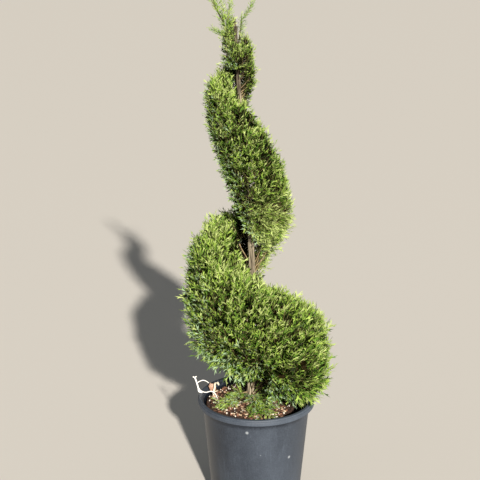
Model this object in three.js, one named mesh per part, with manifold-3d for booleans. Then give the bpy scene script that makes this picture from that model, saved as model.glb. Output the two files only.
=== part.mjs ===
// Spiral topiary: a clipped conifer whose foliage climbs its trunk as a ramp of two and a half turns,
// standing in a round nursery pot. Millimetres, +Z up, origin at the centre of the pot's underside.
// -Y is the front. The ramp is followed by its turn in degrees: 0 is at +X, 90 in front, 180 at -X and
// 270 behind, so it climbs clockwise as seen from above.

import * as THREE from "three";
import { mergeVertices } from "three/addons/utils/BufferGeometryUtils.js";
import Module from "manifold-3d";

const wasm = await Module();
wasm.setup();

// Clearance between pieces that touch, and the least room that a spray keeps from any other piece
const clearance = 0.3;
const sprayRoom = 1.5;

// Pot: a thin moulded wall that widens upwards to a wide turned-down rim
const potHeight = 283;
const potFootRadius = 116;
const potTopRadius = 141;
const potWall = 2.2;
const potFloor = 3;
const rimRadius = 152.5;
const rimDrop = 14.5;
const rimStep = 2;
const rimStepDrop = 5;
const rimRound = 2.5;
const footChamfer = { in: 3, up: 4 };
const mouthDepth = 6;
const potSegments = 34;
const drainHoles = 6;
const drainRadius = 7;
const drainCircle = 88;

// Potting mix: a root ball narrower than the pot, pushed to the back left
const mixLevel = 267.7;
const mixEdgeLevel = 264;
const mixOffset = { x: -15, y: 14 };
const mixRoughness = 1.6;
const mixFlat = 30;
const mixRings = [100, 78, 54];
const mixSegments = 28;

// Trunk: centre line as heights with the centre there, and radii
const trunkFoot = mixLevel + clearance;
const trunkTip = 1233;
const trunkLine = [
  { z: 240, x: -13, y: 20 },
  { z: 460, x: -13, y: 20 },
  { z: 674, x: -13, y: 20 },
  { z: 900, x: -29, y: 20 },
  { z: 1105, x: -46, y: 20 },
  { z: 1203, x: -52, y: 20 },
  { z: 1300, x: -48, y: 20 },
];
const trunkFootRadius = 10.5;
const trunkTipRadius = 4;
const flareSpread = 6;
const flareHeight = 14;
const trunkSides = 10;
const trunkRings = 18;

// Ramp of foliage at chosen turns: its heights at the trunk, halfway out and at the edge, and its reach
const ramp = [
  { turn: -55, foot: 335, under: 330, low: 335, high: 380, crown: 395, reach: 110 },
  { turn: 0, foot: 290, under: 290, low: 296, high: 524, crown: 536, reach: 214 },
  { turn: 45, foot: 289, under: 289, low: 314, high: 588, crown: 598, reach: 219 },
  { turn: 90, foot: 328, under: 354, low: 400, high: 640, crown: 624, reach: 195 },
  { turn: 180, foot: 385, under: 405, low: 450, high: 724, crown: 739, reach: 182 },
  { turn: 270, foot: 520, under: 555, low: 612, high: 778, crown: 802, reach: 138 },
  { turn: 360, foot: 672, under: 708, low: 746, high: 897, crown: 966, reach: 113 },
  { turn: 450, foot: 713, under: 752, low: 818, high: 1048, crown: 1068, reach: 103 },
  { turn: 540, foot: 870, under: 925, low: 990, high: 1105, crown: 1120, reach: 88 },
  { turn: 630, foot: 985, under: 1020, low: 1055, high: 1150, crown: 1160, reach: 60 },
  { turn: 720, foot: 1075, under: 1085, low: 1100, high: 1205, crown: 1215, reach: 39 },
  { turn: 810, foot: 1135, under: 1140, low: 1146, high: 1186, crown: 1190, reach: 32 },
  { turn: 900, foot: 1134, under: 1140, low: 1154, high: 1230, crown: 1236, reach: 34 },
  { turn: 990, foot: 1190, under: 1200, low: 1210, high: 1250, crown: 1258, reach: 22 },
];

// Masses of the ramp, by the turns where they meet
const masses = [
  { coil: "lower_coil", from: -55, to: 270, count: 5, onBough: true },
  { coil: "middle_coil", from: 270, to: 630, count: 5, onBough: true },
  { coil: "top_coil", from: 630, to: 990, count: 4, onBough: false },
];
const massJoint = 0.8;
const coreSteps = 5;
const coreDepth = 0.15;
const innerShare = 0.18;
const sectionPoints = 9;

// Sprays: flat toothed blades, sized and spaced by the ramp's reach
const spraySpacing = 25;
const spraySpacingShare = 0.17;
const sprayLength = 18;
const sprayLengthShare = 0.31;
const sprayThickness = 0.05;
const sprayHeart = 0.42;
const spraySink = 0.3;
const growthLift = 0.75;
const twigsPerMass = 3;

// Colours
const barkColour = 0x8d6f5a;
const foliageColour = 0x5f7f33;
const potColour = 0x3c4046;
const mixColour = 0x4a3226;
const tieColour = 0xe8e8e4;

const up = new THREE.Vector3(0, 0, 1);

// Smooth values between rows of named sizes
function follow(rows, key, names) {
  const places = rows.map((row) => row[key]);
  const values = rows.flatMap((row) => names.map((name) => row[name]));
  const spline = new THREE.CubicInterpolant(places, values, names.length, new Float64Array(names.length));
  return (at) => {
    const result = spline.evaluate(at);
    return Object.fromEntries(names.map((name, i) => [name, result[i]]));
  };
}

const trunkCentre = follow(trunkLine, "z", ["x", "y"]);
const rampAt = follow(ramp, "turn", ["foot", "under", "low", "high", "crown", "reach"]);

function trunkRadius(z) {
  const share = THREE.MathUtils.clamp((z - trunkFoot) / (trunkTip - trunkFoot), 0, 1);
  const taper = THREE.MathUtils.lerp(trunkFootRadius, trunkTipRadius, share);
  return taper + flareSpread * Math.exp(-Math.max(z - trunkFoot, 0) / flareHeight);
}

// Seeded random numbers from 0 to 1
function dice(seed) {
  let state = seed >>> 0;
  return () => {
    state = (state + 0x6d2b79f5) >>> 0;
    let mixed = Math.imul(state ^ (state >>> 15), 1 | state);
    mixed = (mixed + Math.imul(mixed ^ (mixed >>> 7), 61 | mixed)) ^ mixed;
    return ((mixed ^ (mixed >>> 14)) >>> 0) / 4294967296;
  };
}

// Solids and meshes
function solid(geometry) {
  const bare = geometry.clone();
  bare.deleteAttribute("normal");
  bare.deleteAttribute("uv");
  const merged = mergeVertices(bare, 1e-3);
  const vertProperties = new Float32Array(merged.attributes.position.array);
  const triVerts = new Uint32Array(merged.index.array);
  return new wasm.Manifold(new wasm.Mesh({ numProp: 3, vertProperties, triVerts }));
}

// Joins solids two by two, so that every join is between solids of like size
function fuse(solids) {
  let round = solids;
  while (round.length > 1) {
    const next = [];
    for (let i = 0; i < round.length; i += 2) {
      next.push(i + 1 < round.length ? round[i].add(round[i + 1]) : round[i]);
    }
    round = next;
  }
  return round[0];
}

// The largest closed shell of a solid, without loose scraps and without sealed hollows
function largestShell(body) {
  const { vertProperties, triVerts, numProp } = body.getMesh();
  const coordinates = [];
  for (let i = 0; i < vertProperties.length; i += numProp) {
    coordinates.push(vertProperties[i], vertProperties[i + 1], vertProperties[i + 2]);
  }
  const flat = new THREE.BufferGeometry();
  flat.setAttribute("position", new THREE.BufferAttribute(new Float32Array(coordinates), 3));
  flat.setIndex(Array.from(triVerts));
  const merged = mergeVertices(flat, 2e-3);
  const position = merged.attributes.position;
  const index = merged.index.array;
  const parent = Array.from({ length: position.count }, (_, i) => i);
  const rootOf = (i) => {
    while (parent[i] !== i) {
      parent[i] = parent[parent[i]];
      i = parent[i];
    }
    return i;
  };
  const corner = [new THREE.Vector3(), new THREE.Vector3(), new THREE.Vector3()];
  const faces = [];
  for (let i = 0; i < index.length; i += 3) {
    const face = [index[i], index[i + 1], index[i + 2]];
    if (face[0] === face[1] || face[1] === face[2] || face[2] === face[0]) continue;
    faces.push(face);
    parent[rootOf(face[0])] = rootOf(face[1]);
    parent[rootOf(face[1])] = rootOf(face[2]);
  }
  const volumes = new Map();
  for (const face of faces) {
    corner.forEach((point, i) => point.fromBufferAttribute(position, face[i]));
    const share = corner[0].dot(corner[1].clone().cross(corner[2])) / 6;
    const root = rootOf(face[0]);
    volumes.set(root, (volumes.get(root) ?? 0) + share);
  }
  const [largest] = [...volumes.entries()].sort((a, b) => b[1] - a[1])[0];
  const kept = new THREE.BufferGeometry();
  kept.setAttribute("position", position);
  kept.setIndex(faces.filter((face) => rootOf(face[0]) === largest).flat());
  return kept;
}

const plant = new THREE.Group();

function place(name, geometry, color, roughness, metalness = 0) {
  const shaded = geometry.clone();
  shaded.computeVertexNormals();
  const mesh = new THREE.Mesh(shaded, new THREE.MeshStandardMaterial({ color, roughness, metalness }));
  mesh.name = name;
  plant.add(mesh);
}

// Turns a solid of revolution from three.js's Y axis to +Z
function revolve(outline, segments) {
  const points = outline.map(([radius, height]) => new THREE.Vector2(radius, height));
  return new THREE.LatheGeometry(points, segments).rotateX(Math.PI / 2);
}

// Moves every vertex of a geometry by a rule
function reshape(geometry, rule) {
  const position = geometry.attributes.position;
  const point = new THREE.Vector3();
  for (let i = 0; i < position.count; i++) {
    point.fromBufferAttribute(position, i);
    rule(point);
    position.setXYZ(i, point.x, point.y, point.z);
  }
  return geometry;
}

// A tapering round limb along a curve, its ends carried on by a margin
function limb(curve, radiusAt, sides, steps, margin = 0) {
  const frames = curve.computeFrenetFrames(steps, false);
  const stem = new THREE.CylinderGeometry(1, 1, steps, sides, steps);
  return reshape(stem, (point) => {
    const step = Math.round(point.y + steps / 2);
    const share = step / steps;
    const radius = radiusAt(share) + margin;
    const centre = curve.getPointAt(share);
    if (step === 0) centre.addScaledVector(frames.tangents[step], -margin);
    if (step === steps) centre.addScaledVector(frames.tangents[step], margin);
    const across = frames.normals[step].clone().multiplyScalar(point.x * radius);
    const over = frames.binormals[step].clone().multiplyScalar(-point.z * radius);
    point.copy(centre).add(across).add(over);
  });
}

// Every limb's centre line and radius, for keeping sprays clear of it
const limbTrace = [];

function trace(curve, radiusAt, steps) {
  for (let i = 0; i <= steps; i++) {
    limbTrace.push({ centre: curve.getPointAt(i / steps), radius: radiusAt(i / steps) });
  }
}

// Pot
function potWallRadius(z) {
  return THREE.MathUtils.lerp(potFootRadius, potTopRadius, z / potHeight);
}

function buildPot() {
  const skirtRadius = rimRadius - rimStep;
  const shell = revolve(
    [
      [0, 0],
      [potFootRadius - footChamfer.in, 0],
      [potFootRadius, footChamfer.up],
      [potWallRadius(potHeight - potWall), potHeight - potWall],
      [rimRadius - potWall, potHeight - rimStepDrop],
      [rimRadius - potWall, potHeight - rimDrop],
      [rimRadius, potHeight - rimDrop],
      [rimRadius, potHeight - rimStepDrop],
      [skirtRadius, potHeight - rimStepDrop + 1],
      [skirtRadius, potHeight - rimRound],
      [skirtRadius - rimRound, potHeight],
      [potTopRadius + 1, potHeight],
      [potWallRadius(potHeight - mouthDepth) - potWall, potHeight - mouthDepth],
      [potWallRadius(potFloor) - potWall, potFloor],
      [0, potFloor],
    ],
    potSegments,
  );
  let pot = solid(shell);
  for (let i = 0; i < drainHoles; i++) {
    const angle = ((i + 0.5) / drainHoles) * 2 * Math.PI;
    const hole = new THREE.CylinderGeometry(drainRadius, drainRadius, 4 * potFloor, 10).rotateX(Math.PI / 2);
    hole.translate(drainCircle * Math.cos(angle), drainCircle * Math.sin(angle), 0);
    pot = pot.subtract(solid(hole));
  }
  place("pot", largestShell(pot), potColour, 0.45);
}

// Potting mix
function mixTop(x, y) {
  const radius = Math.hypot(x - mixOffset.x, y - mixOffset.y);
  const edge = potWallRadius(mixEdgeLevel) - potWall;
  const share = THREE.MathUtils.clamp((radius - mixFlat) / (edge - mixFlat), 0, 1);
  return THREE.MathUtils.lerp(mixLevel, mixEdgeLevel, share);
}

function buildMix() {
  const shift = Math.hypot(mixOffset.x, mixOffset.y) + 4 * clearance;
  const topRadius = potWallRadius(mixEdgeLevel) - potWall - shift;
  const footRadius = potWallRadius(potFloor) - potWall - shift;
  const roll = dice(7);
  const plug = revolve(
    [
      [0, potFloor + clearance],
      [footRadius, potFloor + clearance],
      [topRadius, mixEdgeLevel - 4],
      [topRadius - 5, mixEdgeLevel],
      ...mixRings.map((radius) => [radius, mixTop(mixOffset.x + radius, mixOffset.y)]),
      [mixFlat, mixLevel],
      [0, mixLevel],
    ],
    mixSegments,
  );
  const merged = mergeVertices(plug.deleteAttribute("normal").deleteAttribute("uv"), 1e-3);
  reshape(merged, (point) => {
    const radius = Math.hypot(point.x, point.y);
    const rough = radius > mixFlat + 1 && radius < topRadius - 1 && point.z > mixEdgeLevel - 1;
    if (rough) point.z += (roll() * 2 - 1) * mixRoughness;
    point.x += mixOffset.x;
    point.y += mixOffset.y;
  });
  place("potting_mix", merged, mixColour, 0.95);
}

// Trunk: a turned taper with its flare, leaned to its centre line
function trunkGeometry(margin = 0) {
  const outline = [[0, trunkFoot - margin]];
  for (let i = 0; i <= trunkRings; i++) {
    const z = trunkFoot + (trunkTip - trunkFoot) * (i / trunkRings) ** 1.25;
    const beyond = i === trunkRings ? margin : i === 0 ? -margin : 0;
    outline.push([trunkRadius(z) + margin, z + beyond]);
  }
  outline.push([0, trunkTip + margin]);
  return reshape(revolve(outline, trunkSides), (point) => {
    const centre = trunkCentre(point.z);
    point.x += centre.x;
    point.y += centre.y;
  });
}

// Ramp section: its outline in (distance from the trunk's centre, height), drawn in by a share of the reach
function section(turn, depth) {
  const { foot, under, low, high, crown, reach } = rampAt(turn);
  const inner = trunkRadius((foot + crown) / 2) + innerShare * reach;
  const inset = depth * reach;
  const rise = Math.min(inset, 0.26 * (high - low));
  const edge = reach - inset;
  const lower = low + rise;
  const upper = high - rise;
  const halfway = (inner + edge) / 2;
  return [
    [inner, foot + rise],
    [halfway, under + rise],
    [edge * 0.9, lower],
    [edge * 0.99, THREE.MathUtils.lerp(lower, upper, 0.22)],
    [edge, THREE.MathUtils.lerp(lower, upper, 0.5)],
    [edge * 0.97, THREE.MathUtils.lerp(lower, upper, 0.78)],
    [edge * 0.86, upper],
    [halfway, (high + crown) / 2 + 0.03 * reach - rise],
    [inner, crown - rise],
  ];
}

// A point of the ramp from its turn, its distance from the trunk's centre and its height
function onRamp(turn, radius, z) {
  const centre = trunkCentre(z);
  const angle = THREE.MathUtils.degToRad(-turn);
  return new THREE.Vector3(centre.x + radius * Math.cos(angle), centre.y + radius * Math.sin(angle), z);
}

// Turn of a point, counted on the winding nearest to a given turn
function turnOf(point, near) {
  const centre = trunkCentre(point.z);
  const turn = THREE.MathUtils.radToDeg(-Math.atan2(point.y - centre.y, point.x - centre.x));
  return turn + 360 * Math.round((near - turn) / 360);
}

function radiusOf(point) {
  const centre = trunkCentre(point.z);
  return Math.hypot(point.x - centre.x, point.y - centre.y);
}

function middleOf(outline) {
  const radius = outline.reduce((sum, [r]) => sum + r, 0) / outline.length;
  const z = outline.reduce((sum, [, height]) => sum + height, 0) / outline.length;
  return [radius, z];
}

function sidesOf(outline) {
  return outline.slice(1).map(([r, z], i) => Math.hypot(r - outline[i][0], z - outline[i][1]));
}

const total = (values) => values.reduce((sum, value) => sum + value, 0);

// Core of one mass: a cylinder whose side becomes the drawn-in ramp section, carried round the turn
function core(from, to) {
  const block = new THREE.CylinderGeometry(1, 1, coreSteps, sectionPoints, coreSteps);
  return reshape(block, (point) => {
    const share = Math.round(point.y + coreSteps / 2) / coreSteps;
    const turn = THREE.MathUtils.lerp(from, to, share);
    const outline = section(turn, coreDepth);
    const angle = Math.atan2(point.x, point.z) / (2 * Math.PI);
    const corner = (Math.round(angle * sectionPoints) + sectionPoints) % sectionPoints;
    const atCap = Math.hypot(point.x, point.z) < 0.5;
    const [radius, z] = atCap ? middleOf(outline) : outline[corner];
    point.copy(onRamp(turn, radius, z));
  });
}

// A place on the core's skin, from the inner foot (0) round the edge to the inner crown (1)
function skin(turn, around) {
  const outline = section(turn, coreDepth);
  const lengths = sidesOf(outline);
  let left = around * total(lengths);
  let side = 0;
  while (side < lengths.length - 1 && left > lengths[side]) {
    left -= lengths[side];
    side += 1;
  }
  const share = THREE.MathUtils.clamp(left / lengths[side], 0, 1);
  const radius = THREE.MathUtils.lerp(outline[side][0], outline[side + 1][0], share);
  const z = THREE.MathUtils.lerp(outline[side][1], outline[side + 1][1], share);
  return onRamp(turn, radius, z);
}

function skinNormal(turn, around) {
  const low = THREE.MathUtils.clamp(around - 0.05, 0, 1);
  const high = THREE.MathUtils.clamp(around + 0.05, 0, 1);
  const along = skin(turn + 2, around).sub(skin(turn - 2, around));
  const over = skin(turn, high).sub(skin(turn, low));
  return over.cross(along).normalize();
}

// Spray: a sphere of one ring of eight corners, drawn out into a flat blade with two pairs of teeth
const sprayOutline = [
  [1, 0],
  [0.78, 0.2],
  [0.6, 0.1],
  [0.5, 0.27],
  [0, 0],
  [0.5, -0.27],
  [0.6, -0.1],
  [0.78, -0.2],
];
const sprayHalfWidth = 0.27;

function spray(root, direction, side, length) {
  const over = direction.clone().cross(side).normalize();
  const across = over.clone().cross(direction).normalize();
  const ball = new THREE.SphereGeometry(1, 8, 2);
  return reshape(ball, (point) => {
    let along = sprayHeart;
    let width = 0;
    let height = 0;
    if (Math.abs(point.y) > 0.5) {
      height = Math.sign(point.y) * sprayThickness * length;
    } else {
      const corner = (Math.round((Math.atan2(point.z, point.x) / (2 * Math.PI)) * 8) + 8) % 8;
      [along, width] = sprayOutline[corner];
    }
    point.copy(root);
    point.addScaledVector(direction, along * length);
    point.addScaledVector(across, -width * length);
    point.addScaledVector(over, height);
  });
}

// Whether a point is inside the space of a mass and clear of the pot, the mix and every limb
function hasRoom(point, mass) {
  const potDistance = Math.hypot(point.x, point.y);
  if (potDistance > potWallRadius(potHeight) - 8 && potDistance < rimRadius + 3) {
    if (point.z < potHeight + sprayRoom) return false;
  } else if (point.z < mixTop(point.x, point.y) + mixRoughness + sprayRoom) {
    return false;
  }
  if (!mass) return true;
  const middle = (mass.from + mass.to) / 2;
  const turn = turnOf(point, middle);
  if (turn < mass.from + massJoint || turn > mass.to - massJoint) return false;
  const radius = radiusOf(point);
  if (radius < trunkRadius(point.z) + sprayRoom) return false;
  const before = turn - 360;
  const after = turn + 360;
  if (before > ramp[0].turn && point.z < rampTop(before, radius) + sprayRoom) return false;
  if (after < ramp[ramp.length - 1].turn && point.z > rampBase(after, radius) - sprayRoom) return false;
  return true;
}

// Heights of the ramp's upper and lower face at a distance from the trunk's centre
function rampTop(turn, radius) {
  const { high, crown, reach } = rampAt(turn);
  return THREE.MathUtils.lerp(crown, high, THREE.MathUtils.clamp(radius / reach, 0, 1)) + 0.05 * reach;
}

function rampBase(turn, radius) {
  const { foot, under, low, reach } = rampAt(turn);
  const share = THREE.MathUtils.clamp(radius / reach, 0, 1);
  const inside = THREE.MathUtils.lerp(foot, under, Math.min(share * 2, 1));
  const base = share < 0.5 ? inside : THREE.MathUtils.lerp(under, low, share * 2 - 1);
  return base - 0.05 * reach;
}

function clearOfLimbs(points) {
  return limbTrace.every(({ centre, radius }) => {
    const room = radius + sprayRoom;
    return points.every((point) => point.distanceTo(centre) > room);
  });
}

function cornersOf(geometry) {
  const position = geometry.attributes.position;
  const corners = Array.from({ length: position.count }, () => new THREE.Vector3());
  corners.forEach((corner, i) => corner.fromBufferAttribute(position, i));
  return corners;
}

// Direction in which a spray grows: out from the skin and lifted to the light, or level if it is underneath
function growth(normal, point, roll) {
  const centre = trunkCentre(point.z);
  const outward = new THREE.Vector3(point.x - centre.x, point.y - centre.y, 0).normalize();
  const above = THREE.MathUtils.smoothstep(normal.z, -0.8, 0.1);
  const direction = normal.clone().multiplyScalar(THREE.MathUtils.lerp(0.35, 0.6, above));
  direction.addScaledVector(up, growthLift * above);
  direction.addScaledVector(outward, growthLift * (1 - above));
  direction.x += (roll() - 0.5) * 0.5;
  direction.y += (roll() - 0.5) * 0.5;
  direction.z += (roll() - 0.5) * 0.4;
  return direction.normalize();
}

// Sprays over a mass, in rows round its section and columns along its turn, each placed and turned by dice
function massSprays(mass, roll) {
  const middle = (mass.from + mass.to) / 2;
  const { reach } = rampAt(middle);
  const spacing = spraySpacing + spraySpacingShare * reach;
  const rows = Math.round(total(sidesOf(section(middle, coreDepth))) / spacing);
  const arc = THREE.MathUtils.degToRad(mass.to - mass.from) * reach * (1 - coreDepth);
  const columns = Math.round(arc / spacing);
  const sprays = [];
  for (let row = 0; row < rows; row++) {
    for (let column = 0; column < columns; column++) {
      const shift = row % 2 === 0 ? 0.3 : 0.7;
      const around = (row + 0.5 + (roll() - 0.5) * 0.5) / rows;
      const length = (sprayLength + sprayLengthShare * reach) * (0.85 + 0.3 * roll());
      const distance = Math.max(radiusOf(skin(middle, around)), length);
      const margin = THREE.MathUtils.radToDeg((sprayHalfWidth * length) / distance);
      const share = (column + shift + (roll() - 0.5) * 0.4) / columns;
      const turn = THREE.MathUtils.lerp(mass.from + margin, mass.to - margin, share);
      const foot = skin(turn, around);
      const normal = skinNormal(turn, around);
      const direction = growth(normal, foot, roll);
      const side = normal.clone().cross(direction).normalize();
      side.addScaledVector(normal, (roll() - 0.5) * 1.4).normalize();
      foot.addScaledVector(direction, -spraySink * length);
      const blade = spray(foot, direction, side, length);
      const corners = cornersOf(blade);
      const free = corners.every((point) => hasRoom(point, mass)) && clearOfLimbs(corners);
      if (free) sprays.push(solid(blade));
    }
  }
  return sprays;
}

// Heart of a mass: the middle of its core
function heart(turn) {
  const [radius, z] = middleOf(section(turn, coreDepth));
  return onRamp(turn, radius, z);
}

// Bough of a mass: from inside the trunk up and out to the inner face of the mass
function boughCurve(turn) {
  const outline = section(turn, coreDepth);
  const [inner, foot] = outline[0];
  const [, crown] = outline[sectionPoints - 1];
  const middle = (foot + crown) / 2;
  const rise = 0.9 * (inner - trunkRadius(middle));
  return new THREE.CatmullRomCurve3([
    onRamp(turn, 0, middle - rise),
    onRamp(turn, trunkRadius(middle) + 1, middle - 0.7 * rise),
    onRamp(turn, inner - 3.5, middle),
  ]);
}

const trunkClear = solid(trunkGeometry(clearance));
place("trunk", trunkGeometry(), barkColour, 0.9);
for (let z = trunkFoot; z <= trunkTip; z += 8) {
  const { x, y } = trunkCentre(z);
  limbTrace.push({ centre: new THREE.Vector3(x, y, z), radius: trunkRadius(z) });
}

buildPot();
buildMix();

// Boughs, thinner up the trunk
const rampMasses = masses.flatMap(({ coil, from, to, count, onBough }) =>
  Array.from({ length: count }, (_, i) => ({
    name: `${coil}_${i + 1}`,
    onBough,
    from: THREE.MathUtils.lerp(from, to, i / count),
    to: THREE.MathUtils.lerp(from, to, (i + 1) / count),
  })),
);
for (const mass of rampMasses) {
  if (!mass.onBough) continue;
  mass.curve = boughCurve((mass.from + mass.to) / 2);
  mass.thick = 0.42 * trunkRadius(mass.curve.getPointAt(0).z) + 0.5;
  mass.boughRadius = (share) => mass.thick * (1 - 0.35 * share);
  const bough = solid(limb(mass.curve, mass.boughRadius, 6, 3)).subtract(trunkClear);
  place(`bough_${mass.name}`, largestShell(bough), barkColour, 0.9);
  trace(mass.curve, mass.boughRadius, 6);
}

// Leading shoots above the ramp: two thin limbs that leave the trunk below its cut tip
const leaders = [
  {
    name: "leader_left",
    line: [
      [-52, 20, 1192],
      [-62, 20, 1206],
      [-74, 19, 1224],
      [-83, 19, 1244],
    ],
    stem: [
      [-83, 19, 1244],
      [-96, 19, 1270],
      [-109, 18, 1294],
      [-124, 18, 1350],
    ],
    thick: 2.6,
    sprayEvery: 9,
    sprayLength: 27,
  },
  {
    name: "leader_right",
    line: [
      [-50, 20, 1180],
      [-44, 18, 1202],
      [-41, 17, 1224],
    ],
    stem: [
      [-41, 17, 1224],
      [-38, 17, 1246],
      [-26, 16, 1262],
      [-14, 15, 1284],
    ],
    thick: 1.8,
    sprayEvery: 9,
    sprayLength: 17,
  },
];

function curveThrough(points) {
  return new THREE.CatmullRomCurve3(points.map((point) => new THREE.Vector3(...point)));
}

for (const leader of leaders) {
  leader.curve = curveThrough(leader.line);
  leader.boughRadius = (share) => leader.thick * (1 - 0.2 * share);
  const shoot = solid(limb(leader.curve, leader.boughRadius, 6, 4)).subtract(trunkClear);
  place(`bough_${leader.name}`, largestShell(shoot), barkColour, 0.9);
  trace(leader.curve, leader.boughRadius, 12);
}

// A limb's own space, which every mass is cut clear of
const limbClears = [...rampMasses.filter(({ onBough }) => onBough), ...leaders].map((holder) =>
  solid(limb(holder.curve, holder.boughRadius, 6, 4, clearance)),
);

// Masses made so far, which loose sprays keep out of
const grown = [];

// Masses of the ramp: a core, a stem that meets the bough, twigs that fork from the heart, and sprays
rampMasses.forEach((mass, number) => {
  const roll = dice(100 + number);
  const middle = (mass.from + mass.to) / 2;
  const { reach } = rampAt(middle);
  const centre = heart(middle);
  const base = mass.onBough ? mass.curve.getPointAt(0.98) : onRamp(middle, 0, centre.z - 8);
  const thick = mass.onBough ? mass.thick * 0.62 : 1.5;
  const stem = new THREE.LineCurve3(base, centre);
  const pieces = [solid(core(mass.from + massJoint, mass.to - massJoint))];
  pieces.push(solid(limb(stem, () => thick, 6, 1)));
  for (let i = 0; i < twigsPerMass; i++) {
    const turn = THREE.MathUtils.lerp(mass.from, mass.to, (i + 0.5) / twigsPerMass);
    const around = 0.3 + 0.6 * roll();
    const foot = skin(turn, around);
    const direction = growth(skinNormal(turn, around), foot, roll);
    const end = foot.clone().addScaledVector(direction, 0.12 * reach + 4);
    const twig = new THREE.LineCurve3(foot.clone().lerp(centre, 0.5), end);
    const side = new THREE.Vector3(roll() - 0.5, roll() - 0.5, 0).cross(direction).normalize();
    const blade = spray(foot, direction, side, 0.28 * reach + 14);
    const corners = cornersOf(blade);
    if (!corners.every((point) => hasRoom(point, mass)) || !clearOfLimbs(corners)) continue;
    pieces.push(solid(limb(twig, (share) => (0.012 * reach + 1.2) * (1 - 0.5 * share), 3, 1)));
    pieces.push(solid(blade));
  }
  pieces.push(...massSprays(mass, roll));
  let body = fuse(pieces).subtract(trunkClear);
  for (const space of limbClears) body = body.subtract(space);
  grown.push(body);
  place(mass.name, largestShell(body), foliageColour, 0.8);
});

// Loose masses: a stem with sprays on alternate sides, and no core
function looseMass({ name, curve, radiusAt, every, length, spread, seed, lift, mass }) {
  const roll = dice(seed);
  const pieces = [solid(limb(curve, radiusAt, 4, 6))];
  const count = Math.floor(curve.getLength() / every);
  for (let i = 0; i <= count; i++) {
    const share = (i + 0.5) / (count + 0.5);
    const root = curve.getPointAt(Math.min(share, 1));
    const tangent = curve.getTangentAt(Math.min(share, 1));
    const angle = i * 2.4 + roll() * 0.8;
    const sideways = new THREE.Vector3(Math.cos(angle), Math.sin(angle), 0);
    const direction = tangent.clone().addScaledVector(sideways, spread * (i === count ? 0.1 : 1));
    direction.z += lift;
    direction.normalize();
    const side = new THREE.Vector3(roll() - 0.5, roll() - 0.5, roll() - 0.5).cross(direction).normalize();
    const size = length * (0.8 + 0.4 * roll());
    root.addScaledVector(direction, -0.06 * size);
    const blade = spray(root, direction, side, size);
    const wide = solid(spray(root, direction, side, size * 1.15));
    const free = grown.every((other) => wide.intersect(other).volume() === 0);
    if (free && cornersOf(blade).every((point) => hasRoom(point, mass))) pieces.push(solid(blade));
  }
  let body = fuse(pieces).subtract(trunkClear);
  for (const space of limbClears) body = body.subtract(space);
  grown.push(body);
  place(name, largestShell(body), foliageColour, 0.8);
}

leaders.forEach((leader, number) => {
  looseMass({
    name: leader.name,
    curve: curveThrough(leader.stem),
    radiusAt: (share) => leader.thick * 0.75 * (1 - 0.6 * share),
    every: leader.sprayEvery,
    length: leader.sprayLength,
    spread: 0.75,
    seed: 300 + number,
    lift: 0.5,
  });
});

// Low shoots that lie out over the mix from the trunk's foot
const footShoots = [
  {
    name: "foot_shoot_left",
    from: 100,
    to: 175,
    stem: [
      [-22, 12, 290],
      [-44, -16, 295],
      [-62, -42, 288],
      [-84, -56, 281],
    ],
  },
  {
    name: "foot_shoot_right",
    from: 55,
    to: 99,
    stem: [
      [-11, 10, 288],
      [-5, -22, 292],
      [6, -58, 283],
      [18, -86, 278],
    ],
  },
];

footShoots.forEach(({ name, stem, from, to }, number) => {
  looseMass({
    name,
    mass: { from, to },
    curve: curveThrough(stem),
    radiusAt: (share) => 2 * (1 - 0.5 * share),
    every: 12,
    length: 38,
    spread: 0.9,
    seed: 400 + number,
    lift: 0.15,
  });
});

// Plastic tie: a spine that stands on the rim under a short crossbar, and two strands that meet over the mix
const tieRadius = 1.5;
const tieOnRim = potHeight + clearance + tieRadius;

function buildTie() {
  const strap = (points) => {
    const outline = new THREE.Shape();
    outline.absarc(0, 0, tieRadius, 0, 2 * Math.PI);
    const extrudePath = curveThrough(points);
    const settings = { steps: 12, curveSegments: 3, bevelEnabled: false, extrudePath };
    return solid(new THREE.ExtrudeGeometry(outline, settings));
  };
  const crossbar = strap([
    [-169, 20, 328],
    [-162, 20, 327],
    [-155, 20, 331],
  ]);
  const spine = strap([
    [-162, 20, 328],
    [-155.5, 20, 311],
    [-151, 20, 296],
    [-148.5, 20, 288.5],
    [-145, 20, tieOnRim + 0.3],
    [-141, 20, tieOnRim],
  ]);
  const upper = strap([
    [-155.5, 20, 311],
    [-143, 22, 315],
    [-131, 24, 313],
    [-122, 24, 303],
    [-116, 22, 287],
  ]);
  const lower = strap([
    [-155, 20, 309],
    [-148, 20, 297],
    [-137, 20, 290],
    [-126, 21, 288],
    [-116, 22, 285],
    [-106, 20, 276.5],
    [-99, 14, 267.6],
  ]);
  place("rim_tie", largestShell(fuse([crossbar, spine, upper, lower])), tieColour, 0.5);
}

buildTie();

export default plant;
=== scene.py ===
# Spiral topiary in its nursery pot. Sizes are in millimetres in the frame of the CAD part: +Z is up, -Y is the
# front, and the origin is in the middle of the pot's underside. make_piece turns them to metres.
import math

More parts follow.
